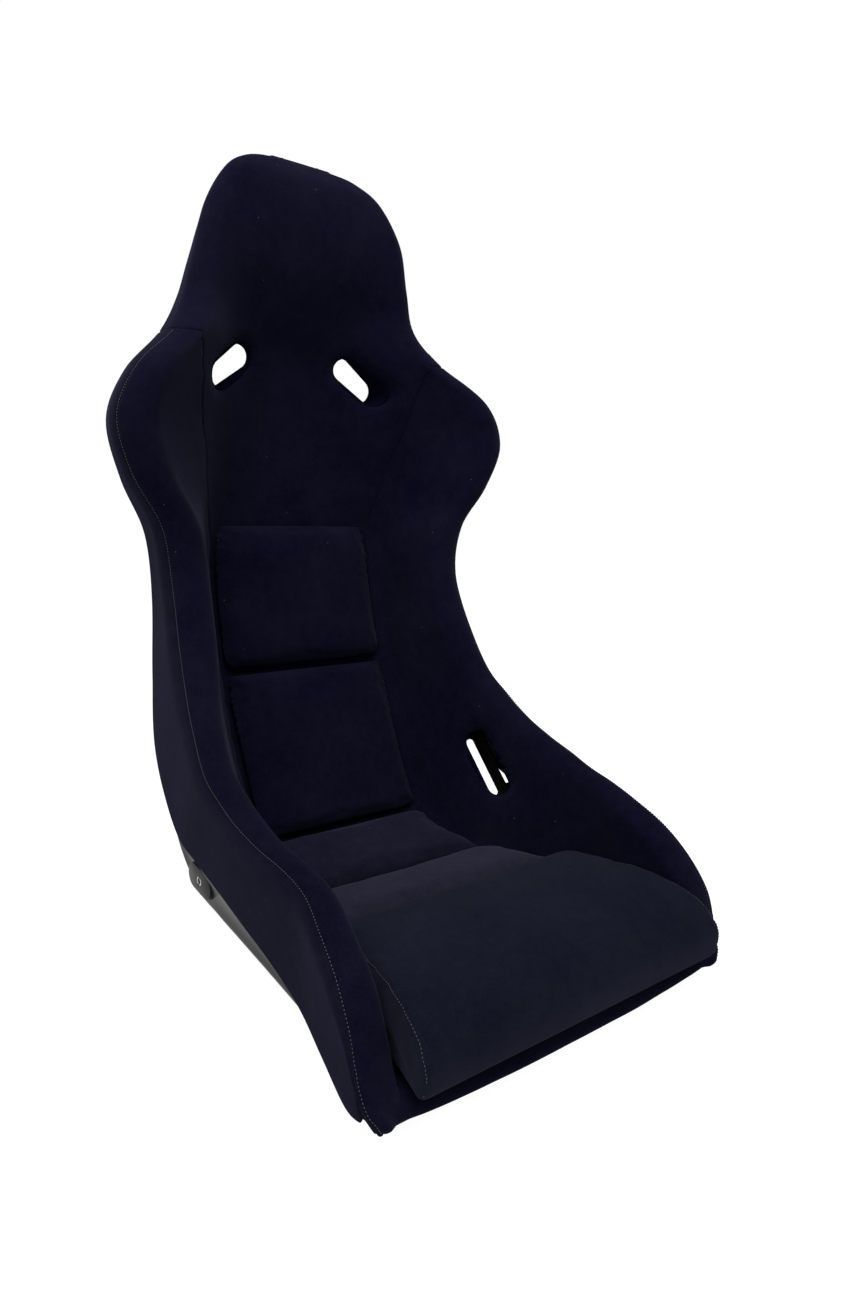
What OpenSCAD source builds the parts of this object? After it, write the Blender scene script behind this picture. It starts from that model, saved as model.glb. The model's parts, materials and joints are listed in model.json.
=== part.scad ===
// Fixed-back bucket racing seat: a moulded shell with a padded fabric cover,
// two back cushions and three seat pads held on by hook-and-loop strips.
// Millimetres. Z is up and the front of the seat faces -Y. The origin lies on
// the floor, midway between the four side-mount holes.

/* [Size] */
// Height of the crown of the head rest above the floor
seat_h = 888; // [860:1:920]
// Greatest width, across the shoulder wings
shoulder_w = 564; // [548:2:590]
// Width at the waist, the narrowest place below the shoulders
waist_w = 444; // [436:2:468]
// Width over the hip bolsters
hip_w = 498; // [486:2:516]
// Width over the front ends of the leg bolsters
front_w = 506; // [496:2:516]
// Width of the head rest
head_w = 282; // [260:2:310]

/* [Bolsters] */
// Height of the shoulder wing's rim above the back panel
shoulder_wing = 112; // [104:1:122]
// Height of the waist bolster's rim above the back panel
waist_wing = 87; // [80:1:96]
// Height of the hip bolster's rim above the seat panel
hip_wing = 170; // [160:1:182]
// Radius of the padded rim on the shoulders
rim_r = 29; // [26:0.5:32]
// Radius of the padded rim beside the legs
leg_rim_r = 26; // [23:0.5:29]

/* [Shell] */
// Thickness of the moulded shell
shell_t = 4; // [3:0.5:5]
// Depth of the shell behind the back panel
back_depth = 26; // [24:1:32]
// Radius of the lower edge of the shell
corner_r = 11; // [8:1:16]
// Half the width of the shell's flat base
base_half = 203; // [198:1:205]

/* [Cover] */
// Thickness of the fabric and its backing on the outer side
cover_t = 3; // [2:0.5:4]
// Play between a cover or pad and the shell
gap = 0.4; // [0.3:0.1:0.6]

/* [Belt slots] */
// Length of a shoulder-belt slot
harness_l = 78; // [66:1:86]
// Width of a shoulder-belt slot
harness_w = 36; // [28:1:40]
// Distance of a shoulder-belt slot's centre from the middle
harness_x = 98; // [94:1:104]
// Height of a shoulder-belt slot's centre
harness_z = 632; // [626:1:638]
// Downward slant of a shoulder-belt slot towards the side
harness_tilt = 36; // [30:1:44]
// Length of a lap-belt slot
lap_l = 98; // [84:1:104]
// Width of a lap-belt slot
lap_w = 32; // [26:1:36]
// Slant of a lap-belt slot, up towards the back
lap_tilt = 39; // [33:1:45]
// Wall of a belt slot's sleeve
sleeve_t = 2; // [1.5:0.5:3]

/* [Cushions] */
// Half the width of the upper back cushion at its top
back_top_half = 124; // [116:1:126]
// Half the width of the back cushions where they meet
back_mid_half = 129; // [120:1:131]
// Thickness of the back cushions
back_cushion_t = 22; // [16:1:26]
// Crown of the back cushions
back_crown = 4; // [2:0.5:6]

/* [Side mounts] */
// Spacing of the two threaded inserts on each side
mount_pitch = 290; // [280:1:300]
// Width over the two mounting faces
mount_w = 414; // [410:1:420]
// Height of the threaded inserts above the floor
mount_z = 26; // [24:1:30]
// Bore of a threaded insert, for an M8 screw
insert_bore = 8; // [6:1:8]
// Length of a threaded insert
insert_l = 14; // [12:1:16]

/* [Hidden] */
$fn = 24;

fabric = "#1c1c28";
fabric_light = "#2c2b38";
gloss = "#101012";
steel = "#9a9ca0";
strip = "#141414";

head_half = head_w/2;
shoulder_half = shoulder_w/2;
waist_half = waist_w/2;
hip_half = hip_w/2;
front_half = front_w/2;

// Table of offsets, from the crown down the back and along the seat to the
// front lip. Each section lies in a plane that holds the X axis. Its columns:
// 0, 1  Y and Z of the panel's middle
// 2     lean of the section, 0 for level and 90 for upright
// 3, 4  half-width of the flat panel and length of the bend beside it
// 5     half-width over the rim
// 6, 7  height of the rim's centre above the panel, and its radius
// 8, 9  half-width at the hem, and the hem's drop below the rim's centre
// 10,11 half-width of the shell's back and its depth behind the panel
stations = [
    [364, seat_h,       0,  20, 10, 44, -4, 4, 36, 10, 24, 8],
    [346, seat_h - 8,   0,  45, 20, 80, -16, 14, 66, 20, 50, 36],
    [325, seat_h - 30,  0,  70, 25, head_half - 29, -22, 20, head_half - 41, 26, 76, 54],
    [316, seat_h - 76,  0,  90, 30, head_half, -20, 22, head_half - 13, 34, 100, 60],
    [322, seat_h - 133, 0,  92, 35, head_half + 15, -10, 22, head_half + 5, 38, 114, 55],
    [340, 705,          0,  88, 45, head_half + 29, 14, 22, head_half + 19, 44, 124, 40],
    [355, 660, 2,   84, 55, 200, 62, 23, 188, 60, 136, back_depth + 3],
    [358, 610, 4,   84, 60, shoulder_half - 26, shoulder_wing - 8, rim_r - 3, shoulder_half - 46, 80, 150, back_depth],
    [357, 550, 6,   92, 60, shoulder_half, shoulder_wing, rim_r, shoulder_half - 24, 88, 162, back_depth],
    [353, 480, 10, 105, 55, shoulder_half - 17, shoulder_wing - 5, rim_r, shoulder_half - 42, 88, 170, back_depth],
    [345, 415, 14, 125, 40, waist_half + 9, waist_wing + 9, rim_r, waist_half - 12, 84, 174, back_depth],
    [322, 335, 22, 130, 28, waist_half, waist_wing, rim_r, waist_half - 16, 80, 178, back_depth],
    [283, 245, 27, 130, 28, waist_half + 7, waist_wing + 9, rim_r + 1, waist_half - 3, 88, 184, back_depth + 2],
    [240, 165, 42, 130, 28, hip_half - 14, hip_wing - 56, rim_r + 2, hip_half - 16, 96, base_half - 5, back_depth + 8],
    [196,  98, 54, 128, 28, hip_half - 7, hip_wing - 26, rim_r + 3, hip_half - 8, 98, base_half + 6, back_depth + 18],
    [150,  45, 61, 128, 30, hip_half - 1, hip_wing - 2, rim_r + 3, hip_half - 3, 93, base_half - 3, back_depth + 25],
    [ 95,  24, 67, 134, 30, hip_half, hip_wing, rim_r + 2, hip_half - 3, 84, base_half, 27],
    [ 35,  22, 72, 148, 32, hip_half, hip_wing - 12, rim_r + 1, hip_half - 3, 78, base_half, 24],
    [-30,  23, 80, 170, 34, hip_half - 3, hip_wing - 25, rim_r - 1, hip_half - 5, 78, base_half, 24],
    [-95,  26, 88, 187, 28, hip_half - 7, hip_wing - 36, leg_rim_r, hip_half - 8, 84, base_half, 27],
    [-155, 29, 97, 193, 24, hip_half - 8, hip_wing - 48, leg_rim_r - 1, hip_half - 9, 91, base_half, 30],
    [-205, 33, 104, 200, 20, front_half - 6, hip_wing - 65, leg_rim_r - 2, front_half - 8, 93, base_half, 32],
    [-243, 37, 110, 205, 16, front_half - 2, hip_wing - 87, leg_rim_r - 3, front_half - 5, 92, base_half + 7, 33],
    [-266, 37, 112, 208, 12, front_half, hip_wing - 115, leg_rim_r - 5, front_half - 5, 62, front_half - 25, 29],
    [-272, 32, 112, 209, 10, front_half - 2, hip_wing - 139, leg_rim_r - 8, front_half - 8, 29, front_half - 27, 19],
    [-280, 25, 112, 210, 6, front_half - 8, hip_wing - 156, leg_rim_r - 18, front_half - 13, 14, front_half - 43, 10],
];
last = len(stations) - 1;

// Sections that every long piece is drawn through
neck_row = 6;
seam_low_row = 9.5;
crease_row = 15;
lip_row = last;
sections = [0, 0.5, 1, 2, 3, 4, 5, 6, 7, 7.5, 8, 8.5, 9, 9.5, 10, 11, 12, 12.5, 13, 13.5, 14, 14.5,
            15, 15.5, 16, 17, 18, 19, 20, 21, 22, 23, 24, 24.6, 25];
row_play = 0.03;
seam_play = 0.03;
crease_play = 0.006;
seam_ease = 3.2;

// Where the cushions and pads begin and end
back_top = 9.77;
back_seam = 12.07;
back_end = 14.98;
seat_start = 15.03;
seat_seam = 17.05;
thigh_seam = 18.65;
pad_play = 0.006;

// Hook-and-loop strips under the pads
strip_t = 1.6;
strip_play = 0.3;
strip_share = 0.28;
sleeve_play = 0.3;
insert_play = 0.15;

function spline(a, b, c, d, t) =
    0.5*(2*b + (c - a)*t + (2*a - 5*b + 4*c - d)*t*t + (3*b - a - 3*c + d)*t*t*t);

function station(s) =
    let (i = min(floor(s), last - 1), b = stations[i], c = stations[i + 1],
         a = i > 0 ? stations[i - 1] : 2*b - c,
         d = i + 2 <= last ? stations[i + 2] : 2*c - b)
    spline(a, b, c, d, s - i);

function rows(from, to) =
    concat([from], [for (s = sections) if (s > from + row_play && s < to - row_play) s], [to]);

// What lies between two sections is on the straight line from one to the other
function mix(a, b, t) = a + (b - a)*t;
function before(s) = max([for (r = sections) if (r <= s) r]);
function after(s) = min([for (r = sections) if (r >= s) r]);
function between(s, draw) =
    let (a = before(s), b = after(s))
    b > a ? mix(draw(station(a)), draw(station(b)), (s - a)/(b - a)) : draw(station(a));

// A point of a section, placed in the seat and kept above the height low
function put(p, q, low = -1000) =
    [q[0], p[0] - cos(p[2])*q[1], max(low, p[1] + sin(p[2])*q[1])];

function bend(a, k, b, t) = (1 - t)*(1 - t)*a + 2*t*(1 - t)*k + t*t*b;
function tangent_angle(k, c, r, side) =
    atan2(c[1] - k[1], c[0] - k[0]) + side*asin(min(1, r/norm(c - k)));
function tangent_point(k, c, r, side) =
    let (a = tangent_angle(k, c, r, side), l = norm(c - k))
    k + sqrt(max(0, l*l - r*r))*[cos(a), sin(a)];
function around(a) = a < 0 ? a + 360 : a;

// Where the steps of a section fall: the panel, its bend, the inner wall, the
// rim and the outer side down to the hem
panel_n = 2;
bend_n = 4;
wall_n = 2;
rim_n = 7;
side_n = 2;
bend_at = panel_n;
wall_at = bend_at + bend_n;
rim_at = wall_at + wall_n;
side_at = rim_at + rim_n;
hem_at = side_at + side_n;
stitch_at = rim_at + 5;

function rim_centre(p) = [p[5] - p[7], p[6]];
function hem_point(p) = [p[8], p[6] - p[9]];

// The padded surface, from the middle of the panel out over the rim to the hem
function padded(p) =
    let (k = [p[3], 0], c = rim_centre(p), hem = hem_point(p),
         top = tangent_point(k, c, p[7], 1), a = tangent_angle(k, c, p[7], 1),
         reach = min(p[4], 0.6*norm(top - k)), inner = k - [reach, 0], outer = k + reach*[cos(a), sin(a)],
         side = tangent_point(hem, c, p[7], -1),
         a1 = around(atan2(top[1] - c[1], top[0] - c[0])), a2 = atan2(side[1] - c[1], side[0] - c[0]))
    concat([for (i = [0:panel_n - 1]) [inner[0]*i/panel_n, 0]],
           [for (i = [0:bend_n - 1]) bend(inner, k, outer, i/bend_n)],
           [for (i = [0:wall_n - 1]) outer + (top - outer)*i/wall_n],
           [for (i = [0:rim_n - 1]) let (b = a1 + (a2 - a1)*i/rim_n) c + p[7]*[cos(b), sin(b)]],
           [for (i = [0:side_n]) side + (hem - side)*i/side_n]);

// The shell's outer surface, from the middle of the back out and up to its
// top edge inside the rim
shell_n = 12;
knee_at = 8;
corner_at = 6;
corner_n = 3;
function shell_line(p) =
    let (c = rim_centre(p), hem = hem_point(p), side = tangent_point(hem, c, p[7], -1),
         u = (hem - side)/norm(hem - side), cover = (cover_t + gap)*[-u[1], u[0]],
         top = side - cover, knee = hem - cover, foot = [p[10], -p[11]],
         r = min(corner_r, 0.4*norm(knee - foot), 0.4*p[10]),
         rise = [foot[0], (foot[1] + knee[1])/2],
         start = foot - [r, 0], end = foot + [0, r])
    concat([for (i = [0:corner_at - corner_n - 1]) start*i/(corner_at - corner_n) + [0, -p[11]]*(1 - i/(corner_at - corner_n))],
           [for (i = [0:corner_n - 1]) bend(start, foot, end, i/corner_n)],
           [for (i = [0:knee_at - corner_at - 1]) bend(end, rise, knee, i/(knee_at - corner_at))],
           [for (i = [0:shell_n - knee_at]) knee + (top - knee)*i/(shell_n - knee_at)]);

// A line moved inwards by t, square to itself
function unit(v) = v/max(norm(v), 0.001);
function square_to(v) = [-v[1], v[0]];
function moved(line, t) =
    [for (i = [0:len(line) - 1])
        let (n1 = square_to(unit(line[max(i, 1)] - line[max(i, 1) - 1])),
             j = min(i, len(line) - 2), n2 = i == 0 ? [0, 1] : square_to(unit(line[j + 1] - line[j])),
             n = i == 0 ? [0, 1] : unit(n1 + n2))
        line[i] + n*t/max(0.5, n*n2)];

// The underside of the padding: over the shell's inner face and its top edge
function bedding(p, ease = 0) =
    let (outer = shell_line(p), inner = moved(outer, shell_t + gap + ease),
         up = gap*unit(outer[shell_n] - outer[shell_n - 1]))
    concat([for (i = [0:shell_n - 1]) inner[i]], [inner[shell_n] + up, outer[shell_n] + up]);

// The inside of the side cover, from the stitched seam down to the hem
function side_bed(p) =
    let (outer = moved(shell_line(p), -gap), up = gap*unit(outer[shell_n] - outer[shell_n - 1]), n = hem_at - stitch_at)
    [for (i = [0:n]) outer[shell_n] + up + (outer[knee_at] - outer[shell_n] - up)*i/n];

function at(line, j) =
    let (i = min(floor(j), len(line) - 2)) line[i] + (line[i + 1] - line[i])*(j - i);

// The V-shaped seam runs from the rim at the neck down to the back cushions
panel_edge_at = bend_at + 2;
neck_seam_at = rim_at + 2;
function seam_at(s) =
    s >= seam_low_row ? panel_edge_at
    : s <= neck_row ? neck_seam_at
    : neck_seam_at + (panel_edge_at - neck_seam_at)*(s - neck_row)/(seam_low_row - neck_row);

function mirrored(row) = [for (i = [len(row) - 1:-1:1]) [-row[i][0], row[i][1], row[i][2]]];
function both_sides(row) = concat(mirrored(row), row);

// A solid between two grids of points. Cells left of the column called middle
// are split along the other diagonal, so that both sides match. Where step is
// set, the columns outside the first step[1] cells end at row step[0]
module slab(a, b, middle = 0, step = [0, 0]) {
    n = len(a);
    m = len(a[0]);
    cells = [for (i = [0:n - 2], k = [0:m - 2]) if (there(i, k)) [i, k]];
    function there(i, k) =
        i >= 0 && i < n - 1 && k >= 0 && k < m - 1 && (i < step[0] || (k >= step[1] && k < m - 1 - step[1]));
    function upper(i, k) = i*m + k;
    function lower(i, k) = n*m + i*m + k;
    function split(p, q, r, s, other) = other ? [[p, q, s], [q, r, s]] : [[p, q, r], [p, r, s]];
    function face(i, k, o) = split(o + i*m + k, o + i*m + k + 1, o + (i + 1)*m + k + 1, o + (i + 1)*m + k, k < middle);
    function flipped(faces) = [for (f = faces) [f[0], f[2], f[1]]];
    function wall(i, k, j, l) = [[upper(i, k), upper(j, l), lower(j, l)], [upper(i, k), lower(j, l), lower(i, k)]];
    faces = [for (c = cells) let (i = c[0], k = c[1])
        each concat(face(i, k, 0), flipped(face(i, k, n*m)),
                    there(i, k - 1) ? [] : wall(i, k, i + 1, k),
                    there(i, k + 1) ? [] : flipped(wall(i, k + 1, i + 1, k + 1)),
                    there(i - 1, k) ? [] : flipped(wall(i, k, i, k + 1)),
                    there(i + 1, k) ? [] : wall(i + 1, k, i + 1, k + 1))];
    polyhedron(concat([for (row = a) each row], [for (row = b) each row]), faces);
}

module left() {
    mirror([1, 0, 0]) children();
}

function placed(p, line, low = 0) = [for (q = line) put(p, q, low)];
function part_of(line, from, to) = [for (j = [from:to]) line[j]];
function cover_row(s, from, to) = between(s, function(p) placed(p, part_of(padded(p), from, to)));
function bed_row(s, from, to) =
    between(s, function(p) placed(p, part_of(bedding(p), from, to), shell_t + gap));
function shell_row(s) = between(s, function(p) placed(p, shell_line(p)));
function lining_row(s) = between(s, function(p) placed(p, moved(shell_line(p), shell_t), shell_t));
function spread(row, from, to, n) = [for (i = [0:n]) at(row, from + (to - from)*i/n)];

// Two round posts, the ends of an obround of length l and width w
module posts(l, w, from, to) {
    for (side = [-1, 1]) translate([side*(l - w)/2, 0, from]) cylinder(d = w, h = to - from);
}

// A slot along Z with a flared mouth, as the fabric is drawn into it
module flared_slot(l, w, from, mouth, to, flare) {
    hull() posts(l, w, mouth, to);
    hull() {
        posts(l + 2*flare, w + 2*flare, from, from + 1);
        posts(l, w, mouth, mouth + 1);
    }
}

// Belt slots. The shoulder slots run straight back, and the lap slots run
// outwards, back and down, the way the belts pull
harness_from = 300;
harness_mouth = 362;
harness_to = 460;
harness_flare = 5;
module at_harness() {
    translate([harness_x, 0, harness_z]) rotate([-90, 0, 0]) rotate(harness_tilt) children();
}
module harness_slot(l, w) {
    at_harness() flared_slot(l, w, harness_from, harness_mouth, harness_to, harness_flare);
}

lap_centre = [167, 60, 150];
lap_heading = 45;
lap_dip = 23;
lap_from = -30;
lap_mouth = 20;
lap_to = 130;
lap_flare = 7;
lap_way = 11;
lap_slit = 4;
module at_lap() {
    translate(lap_centre) rotate([0, 90 + lap_dip, lap_heading]) rotate(107 + lap_tilt) children();
}
module lap_slot(l, w) {
    at_lap() flared_slot(l, w, lap_from, lap_mouth, lap_to, lap_flare);
}

// The padding's slots are cut right through. In the shell a bar stays
// standing in the lap slot, with the belt's way behind it
module cover_slots() {
    for (side = [0, 1]) mirror([side, 0, 0]) {
        harness_slot(harness_l, harness_w);
        lap_slot(lap_l, lap_w);
    }
}

module shell_slots() {
    for (side = [0, 1]) mirror([side, 0, 0]) {
        at_harness() hull() posts(harness_l, harness_w, harness_from, harness_to);
        at_lap() {
            translate([0, (lap_way - lap_w)/2, 0]) hull() posts(lap_l - 6, lap_way, lap_from, lap_to);
            translate([0, (lap_w - lap_slit)/2 - 1, 0]) hull() posts(lap_l - 24, lap_slit, lap_from, lap_to);
        }
    }
}

// Side mounts: a raised boss on the shell holds each threaded insert
boss_l = 64;
boss_h = 32;
insert_d = 12;
function mount_y() = [-mount_pitch/2, mount_pitch/2];

module along_x(x, y, z) {
    translate([x, y, z]) rotate([0, 90, 0]) children();
}

module bosses(play = 0) {
    for (y = mount_y())
        along_x(base_half - shell_t, y, mount_z)
            rotate(90) hull() posts(boss_l + 2*play, boss_h + 2*play, 0, mount_w/2 - base_half + shell_t);
}

module insert_holes(d, from, to) {
    for (y = mount_y()) along_x(from, y, mount_z) cylinder(d = d, h = to - from);
}

module shell() {
    shell_rows = rows(0, wrap_row - row_play);
    color(gloss)
        difference() {
            union() {
                slab([for (s = shell_rows) both_sides(lining_row(s))],
                     [for (s = shell_rows) both_sides(shell_row(s))], shell_n);
                bosses();
                left() bosses();
            }
            shell_slots();
            insert_holes(insert_d, mount_w/2 - insert_l, mount_w/2 + 1);
            left() insert_holes(insert_d, mount_w/2 - insert_l, mount_w/2 + 1);
        }
}

// The head pad wraps over the rim and the crown. Below the neck the cover is
// a panel between the V-shaped seams, down behind the back cushions
module centre_cover() {
    all_rows = rows(0, crease_row - crease_play);
    head_rows = len([for (s = all_rows) if (s < neck_row) s]);
    function wide(row) = concat(row, [for (k = [neck_seam_at + 1:hem_at]) row[neck_seam_at]]);
    function face_row(s) = s > neck_row ? wide(inside_seam(s, soft_row(s, false))) : cover_row(s, 0, hem_at);
    function back_row(s) =
        s > neck_row ? wide(inside_seam(s, soft_row(s, true)))
        : concat(part_of(soft_row(s, true), 0, stitch_at), side_row(s, 1));
    color(fabric)
        difference() {
            slab([for (s = all_rows) both_sides(face_row(s))], [for (s = all_rows) both_sides(back_row(s))],
                 hem_at, [head_rows, hem_at - neck_seam_at]);
            cover_slots();
        }
}

// Columns of the panel that end at the seam, and of the bolster beyond it
function seam_edge(row) =
    let (n = len(row) - 1) [for (i = [0:n]) i < n ? row[i] : row[n] - seam_play*(row[n] - row[n - 1])];
function inside_seam(s, row) =
    let (n = neck_seam_at) [for (k = [0:n]) at(row, seam_at(s)*k/n - (k == n ? seam_play : 0))];
function outside_seam(s, row) =
    let (n = stitch_at - panel_edge_at, from = seam_at(s))
    [for (k = [0:n]) at(row, mix(from, stitch_at, k/n) + (k == 0 ? seam_play : k == n ? -seam_play : 0))];
function soft_row(s, under) =
    between(s, function(p)
        under ? placed(p, bedding(p, s >= neck_row && s < seam_low_row ? seam_ease : 0), shell_t + gap)
        : placed(p, padded(p)));
function side_row(s, from) = between(s, function(p) placed(p, part_of(side_bed(p), from, hem_at - stitch_at)));

module bolster() {
    soft_rows = rows(neck_row + row_play, wrap_row - row_play);
    color(fabric)
        difference() {
            slab([for (s = soft_rows) outside_seam(s, soft_row(s, false))],
                 [for (s = soft_rows) outside_seam(s, soft_row(s, true))]);
            cover_slots();
            bosses(gap);
            insert_holes(insert_d + 2, mount_w/2 - insert_l - 2, base_half);
        }
}

module side_cover() {
    side_rows = rows(neck_row + row_play, wrap_row - row_play);
    color(fabric_light)
        difference() {
            slab([for (s = side_rows)
                     between(s, function(p)
                         placed(p, [for (i = [stitch_at:hem_at]) at(padded(p), max(i, stitch_at + seam_play))]))],
                 [for (s = side_rows) side_row(s, 0)], hem_at);
            lap_slot(lap_l, lap_w);
        }
}

module pan_liner() {
    liner_rows = rows(crease_row + crease_play, wrap_row - row_play);
    color(fabric)
        slab([for (s = liner_rows) both_sides(seam_edge(cover_row(s, 0, panel_edge_at)))],
             [for (s = liner_rows) both_sides(seam_edge(bed_row(s, 0, panel_edge_at)))], panel_edge_at);
}

// The front edge of the padding, where it wraps over the shell
wrap_row = lip_row - 0.9;
module front_lip() {
    end_rows = rows(wrap_row, lip_row);
    color(fabric)
        slab([for (s = end_rows) both_sides(cover_row(s, 0, hem_at))],
             [for (s = end_rows) both_sides(spread(shell_row(s), 0, knee_at, hem_at))], hem_at);
}

// The height of the padded surface above the panel, x away from the middle
function face_height(p, x) = lookup(abs(x), [for (i = [0:rim_at]) padded(p)[i]]);

// How far a pad's face has swollen, from its edge (t = 1) to its middle
function swell(t) = max(edge_share, pow(1 - pow(abs(t), 4), 0.5));
edge_share = 0.25;
seam_share = 0.45;
across = [-1, -0.97, -0.9, -0.78, -0.6, -0.4, -0.2, 0, 0.2, 0.4, 0.6, 0.78, 0.9, 0.97, 1];
along = [0, 0.03, 0.1, 0.22, 0.4, 0.6, 0.78, 0.9, 0.97, 1];
middle_column = (len(across) - 1)/2;
pad_base = strip_t + 2*strip_play;

// A pad between two stations. Its height above the panel, its half-width, its
// crown and the lift of its sides each go from a first value to a last one
module pad(from, to, height, half, crown, lift) {
    function pad_point(v, u, upper) =
        let (h = mix(height[0], height[1], v), w = mix(half[0], half[1], v), l = mix(lift[0], lift[1], v),
             full = swell(u)*swell(2*v - 1), top = h + crown*(1 - u*u) + l*pow(abs(u), 3))
        between(mix(from, to, v), function(p)
            let (base = face_height(p, w*u) + pad_base, seam = mix(base, h, seam_share))
            put(p, [w*u, mix(seam, upper ? top : base, full)]));
    slab([for (v = along) [for (u = across) pad_point(v, u, true)]],
         [for (v = along) [for (u = across) pad_point(v, u, false)]], middle_column);
}

// Two bands of hook-and-loop under a pad
module strips(from, to, half) {
    for (v = [0.25, 0.75]) {
        s = mix(from, to, v);
        span = (to - from)*strip_share/2;
        band = rows(s - span, s + span);
        color(strip)
            slab([for (r = band) [for (u = [-1, 0, 1]) between(r, function(p) put(p, [half*u, strip_play + strip_t]))]],
                 [for (r = band) [for (u = [-1, 0, 1]) between(r, function(p) put(p, [half*u, strip_play]))]], 1);
    }
}

module upper_back_cushion() {
    color(fabric)
        pad(back_top, back_seam - pad_play, [back_cushion_t, back_cushion_t], [back_top_half, back_mid_half],
            back_crown, [0, 0]);
}

module lower_back_cushion() {
    color(fabric)
        pad(back_seam + pad_play, back_end, [back_cushion_t, back_cushion_t], [back_mid_half, back_mid_half - 3],
            back_crown, [0, 0]);
}

module rear_seat_pad() {
    color(fabric) pad(seat_start, seat_seam - pad_play, [27, 36], [124, 146], 2, [2, 4]);
}

module middle_seat_pad() {
    color(fabric_light) pad(seat_seam + pad_play, thigh_seam - pad_play, [36, 52], [148, 181], 0, [12, 14]);
}

// The thigh cushion's rows: the station whose bend lies below, Y and Z of the
// top, Y and Z of the underside, and the half-width
thigh_rows = [
    [18.74,  -76,  62,  -76, 36, 180],
    [18.80,  -77,  76,  -79, 31, 182],
    [18.85,  -84,  85,  -86, 29, 183],
    [19.08, -100,  92, -100, 30, 185],
    [19.53, -127, 100, -127, 31, 188],
    [20.20, -165, 109, -165, 33, 191],
    [21.00, -205, 113, -205, 36, 196],
    [21.80, -240, 112, -235, 40, 202],
    [22.30, -266, 107, -250, 42, 206],
    [22.70, -284,  98, -262, 45, 209],
    [22.90, -297,  86, -272, 48, 211],
    [23.00, -303,  72, -282, 52, 211],
    [23.00, -303,  64, -292, 56, 210],
];

module thigh_cushion() {
    function top_point(r, u) = [r[5]*u, r[1], mix(r[4] + seam_share*(r[2] - r[4]), r[2], swell(u))];
    function low_point(r, u) =
        let (rise = face_height(station(r[0]), r[5]*u), seam = r[4] + seam_share*(r[2] - r[4]))
        [r[5]*u, r[3], min(seam - 1, mix(seam, r[4] + rise, swell(u)))];
    color(fabric)
        slab([for (r = thigh_rows) [for (u = across) top_point(r, u)]],
             [for (r = thigh_rows) [for (u = across) low_point(r, u)]], middle_column);
}

// The lining of a belt slot, flush with the padding and with the shell
module harness_sleeve() {
    around_slot = rows(neck_row, seam_low_row);
    l = harness_l - 2*sleeve_play;
    w = harness_w - 2*sleeve_play;
    color(fabric)
        intersection() {
            difference() {
                harness_slot(l, w);
                harness_slot(l - 2*sleeve_t, w - 2*sleeve_t);
            }
            slab([for (s = around_slot) cover_row(s, 0, neck_seam_at)],
                 [for (s = around_slot) part_of(shell_row(s), 0, neck_seam_at)]);
        }
}

module lap_sleeve() {
    around_slot = rows(14, 18);
    l = lap_l - 2*sleeve_play;
    w = lap_w - 2*sleeve_play;
    color(fabric)
        intersection() {
            difference() {
                lap_slot(l, w);
                lap_slot(l - 2*sleeve_t, w - 2*sleeve_t);
            }
            slab([for (s = around_slot) cover_row(s, panel_edge_at, stitch_at)],
                 [for (s = around_slot) bed_row(s, panel_edge_at, stitch_at)]);
        }
}

// Threaded inserts, flush with the mounting faces
module mount_inserts() {
    color(steel)
        for (y = mount_y())
            along_x(mount_w/2 - insert_l, y, mount_z)
                difference() {
                    cylinder(d = insert_d - 2*insert_play, h = insert_l);
                    translate([0, 0, -1]) cylinder(d = insert_bore, h = insert_l + 2);
                }
}

shell();
centre_cover();
pan_liner();
front_lip();
left() bolster();  // bolster_left
bolster();  // bolster_right
left() side_cover();  // side_cover_left
side_cover();  // side_cover_right
left() harness_sleeve();  // harness_sleeve_left
harness_sleeve();  // harness_sleeve_right
left() lap_sleeve();  // lap_sleeve_left
lap_sleeve();  // lap_sleeve_right
upper_back_cushion();
lower_back_cushion();
rear_seat_pad();
middle_seat_pad();
thigh_cushion();
strips(back_top, back_seam, 80);  // upper_back_strips
strips(back_seam, back_end, 80);  // lower_back_strips
strips(seat_start, seat_seam, 80);  // rear_pad_strips
strips(seat_seam, thigh_seam, 110);  // middle_pad_strips
strips(19, 22, 130);  // thigh_strips
left() mount_inserts();  // mount_inserts_left
mount_inserts();  // mount_inserts_right
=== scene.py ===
import json
import math

import bmesh
import bpy
import numpy as np
from mathutils import Matrix, Vector, noise
from mathutils.bvhtree import BVHTree
from mathutils.kdtree import KDTree

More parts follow.
